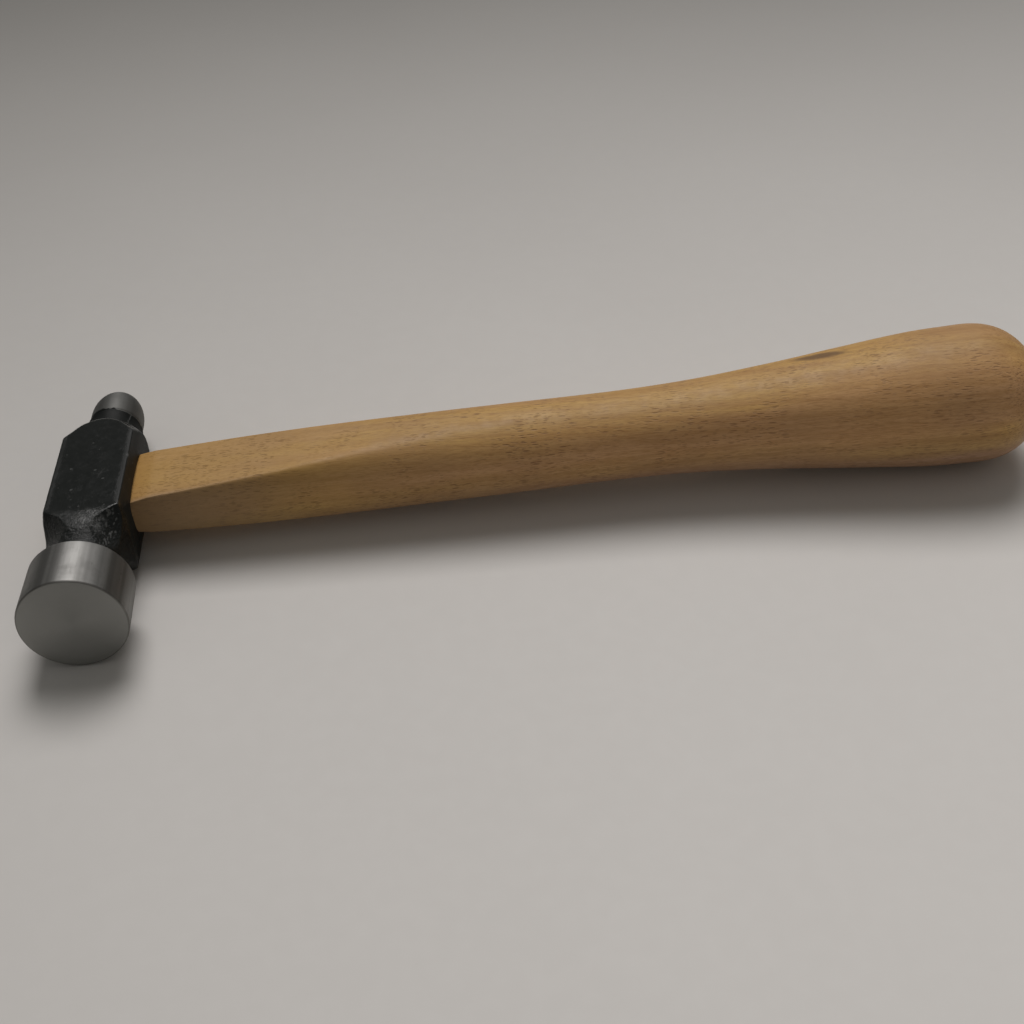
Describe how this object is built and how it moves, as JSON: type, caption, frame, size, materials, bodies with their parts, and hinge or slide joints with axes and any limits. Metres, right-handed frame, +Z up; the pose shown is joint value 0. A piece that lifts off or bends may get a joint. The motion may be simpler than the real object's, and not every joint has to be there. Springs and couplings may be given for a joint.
{
  "type": "ball peen hammer",
  "caption": "Small ball peen hammer lying on its side: round flat face, flat-cheeked black head, bright ball, short oval wooden handle swelling to a rounded grip.",
  "frame": {"origin": "middle of the bottom of the bounding box, on the table that the hammer lies on", "axes": "+X towards the grip's end, -Y the way the striking face looks, +Y towards the ball, +Z up. The hammer leans as it lies on a table: the handle's axis rises 1.5 degrees towards the grip and the head's axis drops 2.4 degrees towards the ball."},
  "size_m": [0.1994, 0.0742, 0.0265],
  "materials": {
    "forged_steel": "black paint on the forged middle, bright machined face, poll side and ball",
    "beech": "clear satin varnish",
    "wedge_wood": "bare end grain",
    "wedge_steel": "plain mild steel"
  },
  "bodies": {
    "root": {"head": "forged_steel", "handle": "beech", "wooden_wedge": "wedge_wood", "steel_wedge": "wedge_steel"}
  },
  "joints": []
}
